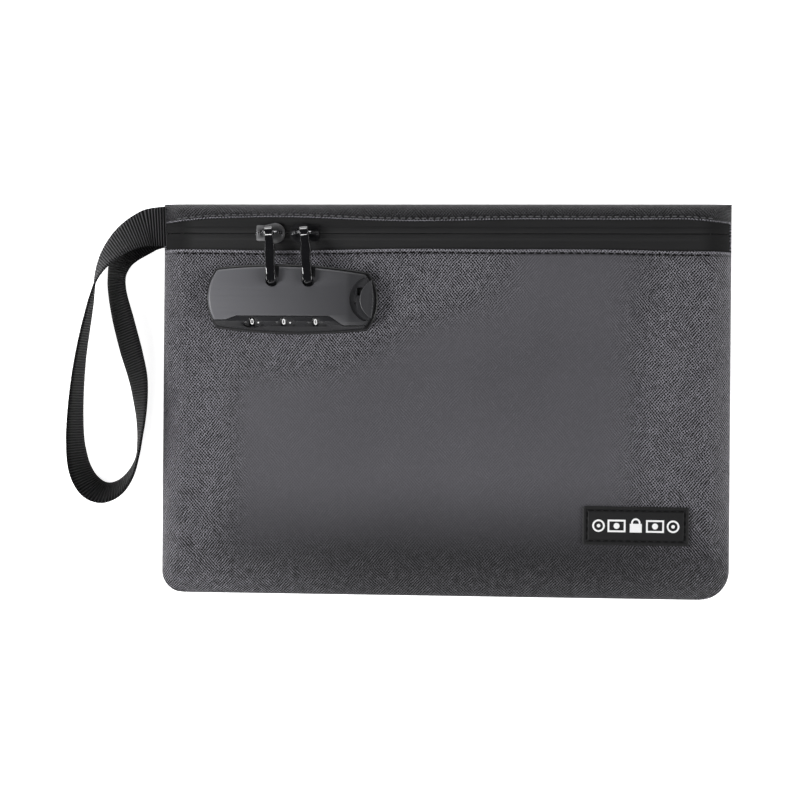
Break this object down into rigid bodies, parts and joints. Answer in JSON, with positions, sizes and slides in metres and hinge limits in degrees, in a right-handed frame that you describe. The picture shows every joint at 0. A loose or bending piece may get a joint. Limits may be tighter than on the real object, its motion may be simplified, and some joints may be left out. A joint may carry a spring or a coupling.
{
  "type": "cash deposit bag",
  "caption": "Flat zipped cash deposit bag with a wrist strap and a combination lock that holds both zip pullers.",
  "frame": {"origin": "middle of the bag's back, on the surface it lies on, the wrist strap left out", "axes": "+X along the zip towards the label patch's side, +Y towards the zip edge, +Z out of the front face"},
  "size_m": [0.3377, 0.2, 0.0266],
  "materials": {
    "leather": "cross-hatched, satin",
    "lining_cloth": "matte",
    "coated_zip_tape": "satin, rubbery",
    "nylon_coil": "satin",
    "slider_metal": "black nickel, satin",
    "gloss_black_metal": "gloss black paint",
    "lock_plastic": "satin",
    "dark_plastic": "satin",
    "plain_steel": "bright",
    "patch_rubber": "matte moulded",
    "webbing": "ribbed, satin"
  },
  "bodies": {
    "pouch": {"front_panel": "leather", "back_panel": "leather", "front_lining": "lining_cloth", "back_lining": "lining_cloth", "zip_tape_lower": "coated_zip_tape", "zip_tape_upper": "coated_zip_tape", "zip_coil_lower": "nylon_coil", "zip_coil_upper": "nylon_coil", "zip_end_stops": "slider_metal", "lock_base": "dark_plastic", "lock_cover": "lock_plastic", "dial_bezel": "lock_plastic", "dial_posts": "plain_steel", "detent_springs": "plain_steel", "latch_spring": "plain_steel", "lock_backing_plate": "plain_steel", "lock_screws": "plain_steel", "label_patch": "patch_rubber", "wrist_strap": "webbing"},
    "left_slider": {"slider_left": "slider_metal"},
    "right_slider": {"slider_right": "slider_metal"},
    "left_puller": {"puller_left": "gloss_black_metal"},
    "right_puller": {"puller_right": "gloss_black_metal"},
    "latch": {"latch_bar": "plain_steel", "release_button": "lock_plastic"},
    "reset_pin": {"reset_plunger": "plain_steel"},
    "dial_wheel_1": {"dial_1": "dark_plastic", "dial_sleeve_1": "plain_steel"},
    "dial_wheel_2": {"dial_2": "dark_plastic", "dial_sleeve_2": "plain_steel"},
    "dial_wheel_3": {"dial_3": "dark_plastic", "dial_sleeve_3": "plain_steel"}
  },
  "joints": [
    {"name": "slider_left_slide", "type": "slide", "parent": "pouch", "child": "left_slider", "axis": [-1, 0, 0], "range_m": [0, 0.0375]},
    {"name": "slider_right_slide", "type": "slide", "parent": "pouch", "child": "right_slider", "axis": [1, 0, 0], "range_m": [0, 0.197]},
    {"name": "puller_left_lift", "type": "hinge", "parent": "left_slider", "child": "left_puller", "pos_m": [-0.0888, 0.0846, 0.0184], "axis": [-1, 0, 0], "range_deg": [-11.5, 145]},
    {"name": "puller_right_lift", "type": "hinge", "parent": "right_slider", "child": "right_puller", "pos_m": [-0.0709, 0.0846, 0.0184], "axis": [-1, 0, 0], "range_deg": [-11.5, 145]},
    {"name": "dial_1_turn", "type": "hinge", "parent": "pouch", "child": "dial_wheel_1", "pos_m": [-0.0969, 0.043, 0.0195], "axis": [0, 0, 1], "continuous": true},
    {"name": "dial_2_turn", "type": "hinge", "parent": "pouch", "child": "dial_wheel_2", "pos_m": [-0.0807, 0.043, 0.0195], "axis": [0, 0, 1], "continuous": true},
    {"name": "dial_3_turn", "type": "hinge", "parent": "pouch", "child": "dial_wheel_3", "pos_m": [-0.0645, 0.043, 0.0195], "axis": [0, 0, 1], "continuous": true},
    {"name": "release_button_slide", "type": "slide", "parent": "pouch", "child": "latch", "axis": [-1, 0, 0], "range_m": [0, 0.004], "stiffness_N_per_m": 120, "springref_m": -0.002, "deforming": ["latch_spring"]},
    {"name": "reset_plunger_press", "type": "slide", "parent": "pouch", "child": "reset_pin", "axis": [0, 0, -1], "range_m": [0, 0.001], "stiffness_N_per_m": 150, "springref_m": -0.0005}
  ]
}
